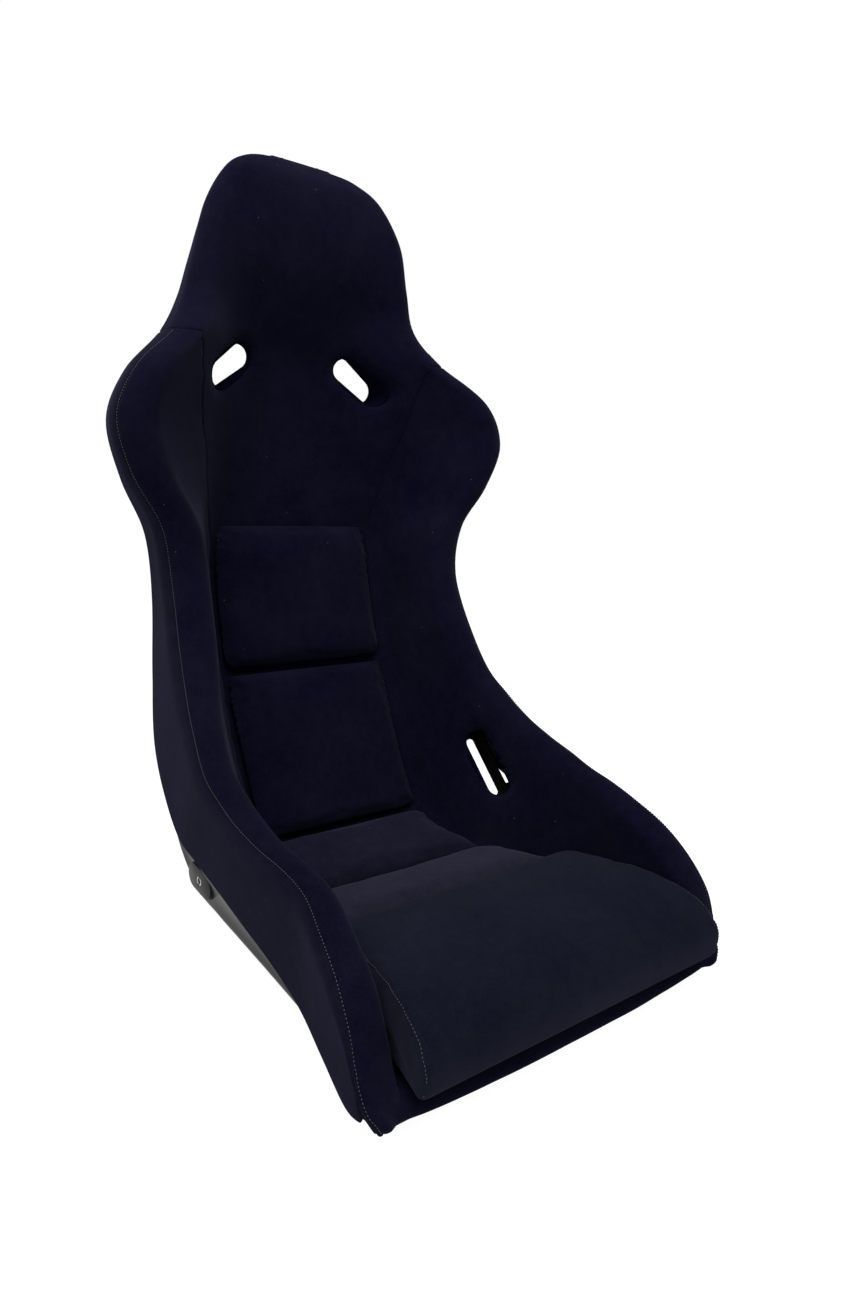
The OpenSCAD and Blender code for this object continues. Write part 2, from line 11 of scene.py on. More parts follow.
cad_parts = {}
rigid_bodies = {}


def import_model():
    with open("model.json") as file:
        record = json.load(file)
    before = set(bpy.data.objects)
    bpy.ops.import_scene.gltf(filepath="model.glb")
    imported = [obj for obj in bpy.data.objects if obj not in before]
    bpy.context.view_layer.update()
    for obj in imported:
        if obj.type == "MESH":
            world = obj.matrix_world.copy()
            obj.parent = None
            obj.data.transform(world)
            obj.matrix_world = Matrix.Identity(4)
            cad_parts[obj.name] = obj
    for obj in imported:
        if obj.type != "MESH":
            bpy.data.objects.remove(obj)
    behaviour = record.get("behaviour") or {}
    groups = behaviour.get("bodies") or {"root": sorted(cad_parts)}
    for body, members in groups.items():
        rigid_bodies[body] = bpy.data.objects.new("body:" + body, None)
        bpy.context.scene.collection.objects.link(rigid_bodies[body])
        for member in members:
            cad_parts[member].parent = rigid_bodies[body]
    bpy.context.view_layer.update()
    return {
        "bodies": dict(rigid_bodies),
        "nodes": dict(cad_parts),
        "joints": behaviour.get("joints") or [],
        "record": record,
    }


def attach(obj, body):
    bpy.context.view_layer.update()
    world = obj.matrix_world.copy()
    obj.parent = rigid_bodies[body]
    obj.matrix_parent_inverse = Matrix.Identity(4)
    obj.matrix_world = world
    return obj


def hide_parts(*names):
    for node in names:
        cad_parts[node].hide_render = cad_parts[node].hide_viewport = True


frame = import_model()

# Lengths here are millimetres, and every mesh is written in metres.
MM = 0.001
SIDES = ((-1, "left"), (1, "right"))

# ---------------------------------------------------------------- camera
CAMERA_AT = (-602.1, -726.6, 586.9)
CAMERA_AXIS = (0.6056, 0.7513, -0.2622)
CAMERA_DOWN = (-0.0852, -0.2663, -0.9601)
FOCAL_PX = 860.0
IMAGE_H = 1312.0
SENSOR = 36.0


def make_camera():
    data = bpy.data.cameras.new("camera")
    data.sensor_width = SENSOR
    data.lens = FOCAL_PX/IMAGE_H*SENSOR
    data.clip_start, data.clip_end = 0.05, 100
    cam = bpy.data.objects.new("camera", data)
    bpy.context.scene.collection.objects.link(cam)
    back = -Vector(CAMERA_AXIS).normalized()
    up = -Vector(CAMERA_DOWN)
    right = up.cross(back).normalized()
    up = back.cross(right)
    m = Matrix((right, up, back)).transposed().to_4x4()
    m.translation = Vector(CAMERA_AT)*MM
    cam.matrix_world = m
    bpy.context.scene.camera = cam


make_camera()

# ---------------------------------------------------------------- sections
SEAT_H, SHOULDER, WAIST, HIP, FRONT, HEAD = 888, 282, 222, 249, 253, 141
SHOULDER_WING, WAIST_WING, HIP_WING, RIM, LEG_RIM = 112, 87, 170, 29, 26
DEPTH, CORNER, BASE, COVER_T, GAP, SHELL_T = 26, 11, 203, 3, 0.4, 3.2
# One row for each section, from the crown down the back and along the seat to the front edge. The columns
# are the section's Y, its Z, its lean in degrees, the panel's half width, the run of the bend, the half width
# over the rim, the rim's height and radius, the hem's half width and drop, and the shell's half width and
# depth.
Y, Z, LEAN, PANEL, BEND, HALF, WING, RADIUS, HEM, DROP, FOOT, DEEP = range(12)
STATIONS = np.array([
    [364, SEAT_H, 0, 20, 10, 44, -4, 4, 36, 10, 24, 8],
    [346, SEAT_H - 8, 0, 45, 20, 80, -16, 14, 66, 20, 50, 36],
    [325, SEAT_H - 30, 0, 70, 25, HEAD - 29, -22, 20, HEAD - 41, 26, 76, 54],
    [316, SEAT_H - 76, 0, 90, 30, HEAD, -20, 22, HEAD - 13, 34, 100, 60],
    [322, SEAT_H - 133, 0, 92, 35, HEAD + 15, -10, 22, HEAD + 5, 38, 114, 55],
    [340, 705, 0, 88, 45, HEAD + 29, 14, 22, HEAD + 19, 44, 124, 40],
    [355, 660, 2, 84, 55, 200, 62, 23, 188, 60, 136, DEPTH + 3],
    [358, 610, 4, 84, 60, SHOULDER - 26, SHOULDER_WING - 8, RIM - 3, SHOULDER - 46, 80, 150, DEPTH],
    [357, 550, 6, 92, 60, SHOULDER, SHOULDER_WING, RIM, SHOULDER - 24, 88, 162, DEPTH],
    [353, 480, 10, 105, 55, SHOULDER - 17, SHOULDER_WING - 5, RIM, SHOULDER - 42, 88, 170, DEPTH],
    [345, 415, 14, 125, 40, WAIST + 9, WAIST_WING + 9, RIM, WAIST - 12, 84, 174, DEPTH],
    [322, 335, 22, 130, 28, WAIST, WAIST_WING, RIM, WAIST - 16, 80, 178, DEPTH],
    [283, 245, 27, 130, 28, WAIST + 7, WAIST_WING + 9, RIM, WAIST - 3, 88, 184, DEPTH + 2],
    [240, 165, 42, 130, 28, HIP - 14, HIP_WING - 58, RIM - 3, HIP - 16, 96, BASE - 5, DEPTH + 8],
    [196, 98, 54, 128, 28, HIP - 7, HIP_WING - 30, RIM - 5, HIP - 8, 98, BASE + 6, DEPTH + 18],
    [150, 45, 61, 128, 30, HIP - 1, HIP_WING - 7, RIM - 6, HIP - 3, 93, BASE - 3, DEPTH + 25],
    [95, 24, 67, 134, 30, HIP, HIP_WING - 5, RIM - 7, HIP - 3, 84, BASE, 27],
    [35, 22, 72, 148, 32, HIP, HIP_WING - 17, RIM - 8, HIP - 3, 78, BASE, 24],
    [-30, 23, 80, 170, 34, HIP - 3, HIP_WING - 30, RIM - 9, HIP - 5, 78, BASE, 24],
    [-95, 26, 88, 187, 28, HIP - 7, HIP_WING - 39, LEG_RIM - 6, HIP - 8, 84, BASE, 27],
    [-155, 29, 97, 193, 24, HIP - 8, HIP_WING - 49, LEG_RIM - 5, HIP - 9, 91, BASE, 30],
    [-205, 33, 104, 200, 20, FRONT - 6, HIP_WING - 65, LEG_RIM - 4, FRONT - 8, 93, BASE, 32],
    [-243, 37, 110, 205, 16, FRONT - 2, HIP_WING - 87, LEG_RIM - 3, FRONT - 5, 92, BASE + 7, 33],
    [-266, 37, 112, 208, 12, FRONT, HIP_WING - 115, LEG_RIM - 5, FRONT - 5, 62, FRONT - 25, 29],
    [-272, 32, 112, 209, 10, FRONT - 2, HIP_WING - 139, LEG_RIM - 8, FRONT - 8, 29, FRONT - 27, 19],
    [-280, 25, 112, 210, 6, FRONT - 8, HIP_WING - 156, LEG_RIM - 18, FRONT - 13, 14, FRONT - 43, 10],
    [-279, 21.5, 80, 209, 5, FRONT - 14, 9, 6, FRONT - 19, 9, FRONT - 43, 8],
    [-275, 17, 40, 209, 5, FRONT - 19, 8, 6, FRONT - 24, 8, FRONT - 43, 8],
    [-267, 16, 0, 212, 4, FRONT - 26, 5, 3, FRONT - 30, 5, FRONT - 45, 6],
], float)
# the last three rows are the rounded ends of the leg bolsters
END = len(STATIONS) - 1
LAST = END - 3
# the rows of the seam across the neck, of the crease between back and seat, and where the cover wraps the
# front edge
NECK_ROW, CREASE_ROW, WRAP_ROW = 6.0, 15.0, LAST - 0.9
# the columns where the parts of a section end, and those of the stitched seam and the liner's edge
BEND_AT, WALL_AT, RIM_AT, SIDE_AT, HEM_AT = 2, 6, 8, 15, 17
STITCH_AT, PANEL_EDGE_AT = 13.0, 4.0
# rows and columns that the V seam passes, from the neck to the back cushions' corners
V_SEAM = np.array([[6.0, 9.1], [6.25, 7.7], [6.5, 7.2], [7.0, 6.7], [8.0, 6.3], [9.0, 5.7], [9.5, 5.1],
                   [10.1, 4.0]])


def curve(a, b, c, d, t):
    """The smooth curve through a, b, c and d, at the share t of the way from b to c."""
    return 0.5*(2*b + (c - a)*t + (2*a - 5*b + 4*c - d)*t*t + (3*b - a - 3*c + d)*t**3)


def station(s):
    """The section at row s, which may lie between two rows."""
    i = int(min(math.floor(s), END - 1))
    b, c = STATIONS[i], STATIONS[i + 1]
    a = STATIONS[i - 1] if i > 0 else 2*b - c
    d = STATIONS[i + 2] if i + 2 <= END else 2*c - b
    return curve(a, b, c, d, s - i)


def tangent(k, c, r, side):
    """Where a line from k touches the circle around c, and the line's angle."""
    d = c - k
    l = float(np.hypot(*d))
    a = math.atan2(d[1], d[0]) + side*math.asin(min(1, r/l))
    return k + math.sqrt(max(0, l*l - r*r))*np.array([math.cos(a), math.sin(a)]), a


def bezier(a, k, b, t):
    t = np.asarray(t)[:, None]
    return (1 - t)**2*a + 2*t*(1 - t)*k + t*t*b


def straight(a, b, t):
    return a + (b - a)*np.asarray(t)[:, None]


def rim_of(p):
    """The centre of the section's round rim, the hem and the rim's radius."""
    return np.array([p[HALF] - p[RADIUS], p[WING]]), np.array([p[HEM], p[WING] - p[DROP]]), p[RADIUS]


def padded(p, j):
    """The padded line of a section at the column numbers j, from the middle to the hem."""
    k = np.array([p[PANEL], 0])
    c, hem, r = rim_of(p)
    top, a = tangent(k, c, r, 1)
    side, _ = tangent(hem, c, r, -1)
    reach = min(p[BEND], 0.6*float(np.hypot(*(top - k))))
    inner = k - np.array([reach, 0])
    outer = k + reach*np.array([math.cos(a), math.sin(a)])
    a1 = math.atan2(top[1] - c[1], top[0] - c[0]) % (2*math.pi)
    a2 = math.atan2(side[1] - c[1], side[0] - c[0])
    j = np.asarray(j, float)
    out = np.zeros((len(j), 2))

    def arc(t):
        turn = a1 + (a2 - a1)*t
        return c + r*np.stack([np.cos(turn), np.sin(turn)], 1)

    zones = [(0, BEND_AT, lambda t: straight(np.zeros(2), inner, t)),
             (BEND_AT, WALL_AT, lambda t: bezier(inner, k, outer, t)),
             (WALL_AT, RIM_AT, lambda t: straight(outer, top, t)),
             (RIM_AT, SIDE_AT, arc),
             (SIDE_AT, HEM_AT, lambda t: straight(side, hem, t))]
    for lo, hi, draw in zones:
        here = (j >= lo) & ((j < hi) | (hi == HEM_AT))
        if here.any():
            out[here] = draw((j[here] - lo)/(hi - lo))
    return out


def shell_line(p, n):
    """The shell's outer line, from the middle of the back up to its top edge inside the rim."""
    c, hem, r = rim_of(p)
    side, _ = tangent(hem, c, r, -1)
    u = (hem - side)/np.hypot(*(hem - side))
    cover = (COVER_T + GAP)*np.array([-u[1], u[0]])
    top, knee, foot = side - cover, hem - cover, np.array([p[FOOT], -p[DEEP]])
    r = min(CORNER, 0.4*np.hypot(*(knee - foot)), 0.4*p[FOOT])
    rise = np.array([foot[0], (foot[1] + knee[1])/2])
    start, end = foot - np.array([r, 0]), foot + np.array([0, r])
    t = np.arange(n)/n
    return np.concatenate([straight(np.array([0, -p[DEEP]]), start, t), bezier(start, foot, end, t),
                           bezier(end, rise, knee, t), straight(knee, top, np.append(t, 1))])


def put(p, q, low=0.0):
    """Points of a section, given as X and height above its panel, in the part's frame and not below low."""
    lean = math.radians(p[LEAN])
    return np.stack([q[:, 0], p[Y] - math.cos(lean)*q[:, 1],
                     np.maximum(low, p[Z] + math.sin(lean)*q[:, 1])], 1)


def seam_at(s):
    """The column of the V seam in row s."""
    return float(np.interp(s, V_SEAM[:, 0], V_SEAM[:, 1]))


def surface(s, j):
    """Points of the padded surface. Negative columns are the left half."""
    j = np.asarray(j, float)
    p = station(s)
    q = padded(p, np.abs(j))
    q[:, 0] *= np.where(j < 0, -1, 1)
    return put(p, q)


# how far the first points of a cover lie from its seam, on a strip at least EDGE_WIDTH wide
EDGE_STEPS = np.array([0, 0.5, 1.1, 1.9, 3.0, 4.4, 6.2])
EDGE_WIDTH = 30


def columns_between(s, j0, j1, n, first=True, second=True):
    """Column numbers from j0 to j1, close together beside a seam and even in between."""
    dense = np.linspace(j0, j1, 241)
    pts = surface(s, dense)
    run = np.concatenate([[0], np.cumsum(np.linalg.norm(np.diff(pts, axis=0), axis=1))])
    total = run[-1]
    e = EDGE_STEPS*min(1, total/EDGE_WIDTH)
    head = e if first else np.array([0.0])
    tail = total - (e if second else np.array([0.0]))[::-1]
    middle = np.linspace(head[-1], tail[0], n + 2)[1:-1]
    return np.interp(np.concatenate([head, middle, tail]), run, dense)


# ---------------------------------------------------------------- meshes
def new_object(name, verts, faces, smooth=True):
    mesh = bpy.data.meshes.new(name)
    points = [tuple(v) for v in np.asarray(verts)*MM]
    mesh.from_pydata(points, [], [tuple(int(i) for i in f) for f in faces])
    mesh.update()
    if smooth:
        mesh.shade_smooth()
    o = bpy.data.objects.new(name, mesh)
    bpy.context.scene.collection.objects.link(o)
    return o


def apply_modifiers(o):
    dg = bpy.context.evaluated_depsgraph_get()
    mesh = bpy.data.meshes.new_from_object(o.evaluated_get(dg))
    old = o.data
    o.modifiers.clear()
    o.data = mesh
    bpy.data.meshes.remove(old)
    mesh.name = o.name
    return o


def sharpen(o, degrees):
    """Smooth shading, with edges over this angle left sharp."""
    o.data.shade_smooth()
    o.data.set_sharp_from_angle(angle=math.radians(degrees))


def ring_faces(rings, n, closed=False):
    """Quads between rings of n points each. A closed set also joins its last ring to its first."""
    faces = []
    for r in range(rings if closed else rings - 1):
        here, there = r*n, (r + 1) % rings*n
        for i in range(n):
            after = (i + 1) % n
            faces.append((here + i, here + after, there + after, there + i))
    return faces


def outward(o):
    """The faces of a closed mesh turned to the outside."""
    bm = bmesh.new()
    bm.from_mesh(o.data)
    bmesh.ops.recalc_face_normals(bm, faces=bm.faces)
    bm.to_mesh(o.data)
    bm.free()


def dress(o, node):
    """The piece rides the seat's one body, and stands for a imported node."""
    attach(o, "root")
    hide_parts(node)
    return o


def grid_normals(p):
    n = np.cross(np.gradient(p, axis=0), np.gradient(p, axis=1))
    return n/np.maximum(np.linalg.norm(n, axis=2, keepdims=True), 1e-9)


SKIN_CREASE, CUT_CREASE, BOSS_CREASE = 55, 50, 40


def skin(name, p, inner, there=None, flip=False):
    """A closed skin between the grid p and the grid inner. Cells left out of there are open."""
    n, m = p.shape[:2]
    if there is None:
        there = np.ones((n - 1, m - 1), bool)
    verts = np.concatenate([p.reshape(-1, 3), inner.reshape(-1, 3)])
    off = n*m
    faces = []

    def at(i, k):
        return 0 <= i < n - 1 and 0 <= k < m - 1 and there[i, k]

    def v(i, k):
        return i*m + k

    for i in range(n - 1):
        for k in range(m - 1):
            if not there[i, k]:
                continue
            a, b, c, d = v(i, k), v(i + 1, k), v(i + 1, k + 1), v(i, k + 1)
            faces.append((a, b, c, d))
            faces.append((a + off, d + off, c + off, b + off))
            if not at(i, k - 1):
                faces.append((a, a + off, b + off, b))
            if not at(i, k + 1):
                faces.append((d, c, c + off, d + off))
            if not at(i - 1, k):
                faces.append((a, d, d + off, a + off))
            if not at(i + 1, k):
                faces.append((b, b + off, c + off, c))
    if flip:
        faces = [f[::-1] for f in faces]
    used = sorted({i for f in faces for i in f})
    place = {u: i for i, u in enumerate(used)}
    o = new_object(name, verts[used], [[place[i] for i in f] for f in faces])
    sharpen(o, SKIN_CREASE)
    return o


def mirrored(p):
    q = p.copy()
    q[..., 0] *= -1
    return q


# ---------------------------------------------------------------- seams
SEAM_DEPTH, SEAM_REACH, SEAM_STEP = 2.0, 4.5, 0.02
FOAM_WAVE = 90


def seam_tree():
    """The V seams, the stitched outer seams and the seams across the neck, as points to search."""
    half = [surface(s, [seam_at(s)])[0] for s in np.arange(NECK_ROW, LAST, SEAM_STEP)]
    half += [surface(s, [STITCH_AT])[0] for s in np.arange(NECK_ROW, END, SEAM_STEP)]
    half += [surface(NECK_ROW, [j])[0] for j in np.arange(V_SEAM[0, 1], HEM_AT + 0.01, 0.05)]
    points = np.concatenate([half, mirrored(np.array(half))])
    found = KDTree(len(points))
    for i, p in enumerate(points):
        found.insert(p, i)
    found.balance()
    return found


SEAMS = seam_tree()


def drawn_in(p, n):
    """The fabric rolls over towards each seam."""
    q = p.copy()
    flat, norm = q.reshape(-1, 3), n.reshape(-1, 3)
    for i in range(len(flat)):
        d = SEAMS.find(flat[i])[2]
        if d < SEAM_REACH:
            x = d/SEAM_REACH
            flat[i] -= norm[i]*SEAM_DEPTH*(1 - math.sqrt(max(0, 1 - (1 - x)**2)))
    return q


def soft(p, n, amount, length, seed):
    """Slow unevenness of foam under fabric."""
    q = p.copy()
    flat, norm = q.reshape(-1, 3), n.reshape(-1, 3)
    for i in range(len(flat)):
        v = Vector(flat[i])/length + Vector((seed, 0.3*seed, -seed))
        flat[i] += norm[i]*amount*noise.fractal(v, 0.9, 2.0, 2)
    return q


# ---------------------------------------------------------------- belt slots
HARNESS_X, HARNESS_Y, HARNESS_Z, HARNESS_L, HARNESS_W, HARNESS_TILT = 98, 340, 632, 80, 37, 36
LAP_AT, LAP_HEADING, LAP_PITCH, LAP_TURN = np.array([167.0, 60.0, 150.0]), 45, 23, 107 + 39
LAP_L, LAP_W, LAP_WAY, LAP_SLIT = 98, 32, 11, 4
# how deep and how wide the padding dips around a slot, and how far in front and behind its centre
HARNESS_DIP, HARNESS_REACH, HARNESS_NEAR = 7.0, 16.0, 60
LAP_DIP, LAP_REACH, LAP_NEAR = 8.0, 14.0, 45
# from where to where a cut runs along a slot's axis
HARNESS_CUT, LAP_CUT = (-60, 90), (-40, 150)


def harness_frame(side):
    """Along the slot, across it and straight back through it, with the slot's centre."""
    t = math.radians(HARNESS_TILT)
    along = np.array([side*math.cos(t), 0, -math.sin(t)])
    axis = np.array([0, 1.0, 0])
    return along, np.cross(axis, along), axis, np.array([side*HARNESS_X, HARNESS_Y, HARNESS_Z])


def lap_frame(side):
    """The same four for a lap-belt slot, which runs outwards and down through the bolster."""
    r = (Matrix.Rotation(math.radians(LAP_HEADING), 3, "Z")
         @ Matrix.Rotation(math.radians(90 + LAP_PITCH), 3, "Y")
         @ Matrix.Rotation(math.radians(LAP_TURN), 3, "Z"))
    along, across, axis = (np.array(r @ Vector(v)) for v in ((1, 0, 0), (0, 1, 0), (0, 0, 1)))
    flip = np.array([side, 1, 1])
    return along*flip, across*flip, axis*flip, LAP_AT*flip


def obround_distance(q, frame, l, w):
    """How far points lie outside a slot's outline, seen along its axis, and how far along the axis."""
    along, across, axis, centre = frame
    d = q - centre
    a, b, c = d @ along, d @ across, d @ axis
    return np.hypot(np.maximum(np.abs(a) - (l - w)/2, 0), b) - w/2, c


def obround(l, w, n=20, shift=0.0):
    """The outline of a slot, as along and across."""
    out = []
    for end in (1, -1):
        for i in range(n + 1):
            t = math.pi*(-0.5 + i/n) + (0 if end == 1 else math.pi)
            out.append((end*(l - w)/2 + w/2*math.cos(t), w/2*math.sin(t) + shift))
    return np.array(out)


def prism(name, frame, outline, lo, hi):
    """A cutter with this outline, from lo to hi along the frame's axis."""
    along, across, axis, centre = frame
    n = len(outline)
    rings = [centre + outline[:, :1]*along + outline[:, 1:]*across + h*axis for h in (lo, hi)]
    faces = ring_faces(2, n) + [tuple(range(n))[::-1], tuple(range(n, 2*n))]
    o = new_object(name, np.concatenate(rings), faces, False)
    outward(o)
    return o


def cut(o, cutters):
    for c in cutters:
        m = o.modifiers.new("cut", "BOOLEAN")
        m.operation, m.solver, m.object = "DIFFERENCE", "EXACT", c
    apply_modifiers(o)
    for c in cutters:
        bpy.data.objects.remove(c)
    sharpen(o, CUT_CREASE)


def harness_cutter(side):
    return prism("cut_harness", harness_frame(side), obround(HARNESS_L, HARNESS_W), *HARNESS_CUT)


def slot_cutters():
    """What the belt slots take from the padding."""
    made = []
    for side in (-1, 1):
        made.append(harness_cutter(side))
        made.append(prism("cut_lap", lap_frame(side), obround(LAP_L, LAP_W), *LAP_CUT))
    return made


def sunk(p, n):
    """The padding dips towards the belt slots."""
    q = p.copy()
    flat, norm = q.reshape(-1, 3), n.reshape(-1, 3)
    for side in (-1, 1):
        slots = ((harness_frame(side), HARNESS_L, HARNESS_W, HARNESS_DIP, HARNESS_REACH, HARNESS_NEAR),
                 (lap_frame(side), LAP_L, LAP_W, LAP_DIP, LAP_REACH, LAP_NEAR))
        for slot, l, w, dip, reach, near in slots:
            d, c = obround_distance(flat, slot, l, w)
            x = np.clip(d/reach, 0, 1)
            fall = dip*(1 - np.sqrt(np.maximum(0, 1 - (1 - x)**2)))
            fall[np.abs(c) > near] = 0
            flat -= norm*fall[:, None]
    return q


# ---------------------------------------------------------------- covers
ROW_STEP, BELT_ROW_STEP = 0.125, 0.05
BELT_ROWS = 5.6, 7.6
FABRIC_T, SIDE_T, LINER_T, EDGE_T = 7.0, 2.6, 4.0, 2.5


def rows_between(lo, hi, step, close_to=()):
    """Row numbers from lo to hi, with more of them close to a seam that crosses the rows."""
    r = set(np.round(np.arange(lo, hi, step), 4)) | {lo, hi}
    for c in close_to:
        for d in (0.01, 0.03, 0.06, 0.1, 0.15):
            r |= {x for x in (c - d, c + d) if lo < x < hi}
    return sorted(r)


def more_rows(rows, lo, hi, step):
    return sorted(set(rows) | set(np.round(np.arange(lo, hi, step), 4)))


def grid(rows, columns):
    return np.array([surface(s, columns(s)) for s in rows])


def both_halves(half):
    """Columns from the left edge to the right one, from those of the right half."""
    return np.concatenate([-half[:0:-1], half])


def finish_cover(name, p, thick, node, uneven, seed=0.0, mirror=False, there=None):
    """A cover over the grid p, drawn in at its seams and dipped at the slots."""
    if mirror:
        p = mirrored(p)
    n = grid_normals(p)*(-1 if mirror else 1)
    p = drawn_in(p, n)
    p = soft(p, n, uneven, FOAM_WAVE, seed)
    p = sunk(p, n)
    o = skin(name, p, p - n*np.reshape(thick, (-1, 1, 1)), there, flip=mirror)
    return dress(o, node)


def make_bolster(mirror):
    rows = more_rows(rows_between(NECK_ROW, END, ROW_STEP, (NECK_ROW,)), *BELT_ROWS, BELT_ROW_STEP)
    p = grid(rows, lambda s: columns_between(s, seam_at(s), STITCH_AT, 34))
    tag = "left" if mirror else "right"
    thick = [FABRIC_T if s < WRAP_ROW else EDGE_T for s in rows]
    o = finish_cover("bolster_%s_velour" % tag, p, thick, "bolster_" + tag, 1.0,
                     3.0 if mirror else 7.0, mirror)
    cut(o, slot_cutters())
    return o


def make_side_cover(mirror):
    rows = rows_between(NECK_ROW, END, ROW_STEP, (NECK_ROW,))
    p = grid(rows, lambda s: columns_between(s, STITCH_AT, HEM_AT, 14))
    tag = "left" if mirror else "right"
    return finish_cover("side_cover_%s_velour" % tag, p, SIDE_T, "side_cover_" + tag, 0.35,
                        11.0 if mirror else 13.0, mirror)


CROWN_Y, CROWN_TURN = 371.5, (1.0, 0.7, 0.4, 0.15)


def make_centre_cover():
    """The head rest, and below the neck the panel between the V seams."""
    rows = more_rows(rows_between(0.0, CREASE_ROW, ROW_STEP, (NECK_ROW,)), *BELT_ROWS, BELT_ROW_STEP)
    inner_n, outer_n = 30, 20

    def columns(s):
        half = columns_between(s, 0.0, seam_at(s), inner_n, first=False)
        rest = columns_between(s, seam_at(s), HEM_AT, outer_n, second=False)
        return both_halves(np.concatenate([half, rest[1:]]))

    p = grid(rows, columns)
    # the crown turns over the top edge
    crown = []
    for t in CROWN_TURN:
        r = p[0].copy()
        r[:, 0] *= 1 - 0.18*t*t
        r[:, 1] += (CROWN_Y - r[:, 1])*t*t*0.85
        r[:, 2] += 1.2*math.sin(math.pi*t)
        crown.append(r)
    p = np.concatenate([np.array(crown), p])
    # below the neck only the cells between the two V seams are there
    there = np.ones((p.shape[0] - 1, p.shape[1] - 1), bool)
    middle, reach = there.shape[1]//2, inner_n + len(EDGE_STEPS)
    below = len(crown) + rows.index(NECK_ROW)
    there[below:, :middle - reach] = False
    there[below:, middle + reach:] = False
    thick = [2.0]*len(crown) + [min(FABRIC_T, 3.5 + 4*s) for s in rows]
    o = finish_cover("centre_cover_velour", p, thick, "centre_cover", 0.8, 1.0, there=there)
    cut(o, slot_cutters())
    return o


def make_liner():
    rows = rows_between(CREASE_ROW, WRAP_ROW, 0.25)
    p = grid(rows, lambda s: both_halves(columns_between(s, 0.0, PANEL_EDGE_AT, 16, first=False)))
    return finish_cover("pan_liner_velour", p, LINER_T, "pan_liner", 0.5)


# the front edge from the side, as Y and Z, from the seat's top over the front and under the shell
LIP_LINE = np.array([[-262, 37.2], [-269, 36.2], [-275, 33.2], [-280, 28.6], [-283, 23.6], [-284.2, 19],
                     [-283.4, 15.6], [-280.5, 13.4], [-276, 12.4], [-270, 12], [-262, 12]])
LIP_HALF, LIP_RISE, LIP_WAVE = 214.0, 8, 60


def make_lip():
    """The padded front edge between the two bolsters, wrapped over the shell."""
    t = np.linspace(0, len(LIP_LINE) - 1, 31)
    line = np.stack([np.interp(t, np.arange(len(LIP_LINE)), LIP_LINE[:, i]) for i in (0, 1)], 1)
    rows = []
    for x in np.linspace(-LIP_HALF, LIP_HALF, 81):
        # the lower edge rises towards the bolsters
        rise = LIP_RISE*(abs(x)/LIP_HALF)**3
        share = np.clip((36 - line[:, 1])/24, 0, 1)
        y, z = line[:, 0] + 0.5*rise*share, line[:, 1] + rise*share
        rows.append(np.stack([np.full(len(line), x), y, z], 1))
    p = np.array(rows)
    n = grid_normals(p)
    if n[40, 12, 1] > 0:
        n = -n
    p = soft(p, n, 0.6, LIP_WAVE, 5.0)
    return dress(skin("front_lip_velour", p, p - n*EDGE_T), "front_lip")


# ---------------------------------------------------------------- shell
SHELL_END_ROW = 22.6
SHELL_BELT_ROWS = 5.4, 7.8
DISH_Y, DISH_REACH, DISH_SOFT, BACK_Y = 365.0, 16, 5, 350


def make_shell():
    rows = more_rows(rows_between(0.0, SHELL_END_ROW, ROW_STEP), *SHELL_BELT_ROWS, ROW_STEP/2)
    outer = []
    for s in rows:
        line = shell_line(station(s), 12)
        outer.append(put(station(s), np.concatenate([line[:0:-1]*[-1, 1], line])))
    outer = np.array(outer)
    # the back is dished around the shoulder-belt slots
    flat = outer.reshape(-1, 3)
    for side in (-1, 1):
        d, _ = obround_distance(flat, harness_frame(side), HARNESS_L, HARNESS_W)
        fall = 1/(1 + np.exp((d - DISH_REACH)/DISH_SOFT))
        flat[:, 1] += np.where(flat[:, 1] > BACK_Y, (DISH_Y - flat[:, 1])*fall, 0)
    inner = outer + grid_normals(outer)*SHELL_T
    inner[:, :, 2] = np.maximum(inner[:, :, 2], 1.0)
    o = skin("shell_gloss", outer, inner, flip=True)
    cutters = []
    for side in (-1, 1):
        slot = lap_frame(side)
        way = obround(LAP_L - 6, LAP_WAY, 12, (LAP_WAY - LAP_W)/2)
        slit = obround(LAP_L - 24, LAP_SLIT, 12, (LAP_W - LAP_SLIT)/2 - 1)
        cutters += [harness_cutter(side), prism("cut_way", slot, way, *LAP_CUT),
                    prism("cut_slit", slot, slit, *LAP_CUT)]
    cut(o, cutters)
    return dress(o, "shell")


BOSS_L, BOSS_H, BOSS_ROOT, MOUNT_PITCH, MOUNT_W, MOUNT_Z, INSERT_R = 64, 32, 8, 290, 414, 26, 6.2


def make_bosses():
    """The raised mounting faces around the four threaded inserts."""
    face = MOUNT_W/2 - BASE
    edge = obround(BOSS_L, BOSS_H)
    turns = [math.atan2(q[1], q[0]) for q in edge]
    hole = np.array([(INSERT_R*math.cos(a), INSERT_R*math.sin(a)) for a in turns])
    steps = [(-BOSS_ROOT, edge), (face - 1.2, edge)]
    for drop, inset in ((0.3, 0.4), (0, 1.4)):
        steps.append((face - drop, obround(BOSS_L - 2*inset, BOSS_H - 2*inset)))
    steps.append((face, hole))
    made = []
    for side, tag in SIDES:
        for end, y in (("front", -MOUNT_PITCH/2), ("rear", MOUNT_PITCH/2)):
            rings = [np.stack([np.full(len(o), side*(BASE + h)), y + o[:, 0], MOUNT_Z + o[:, 1]], 1)
                     for h, o in steps]
            faces = ring_faces(len(rings), len(edge))
            if side < 0:
                faces = [f[::-1] for f in faces]
            b = new_object("boss_%s_%s" % (tag, end), np.concatenate(rings), faces)
            sharpen(b, BOSS_CREASE)
            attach(b, "root")
            made.append(b)
    return made


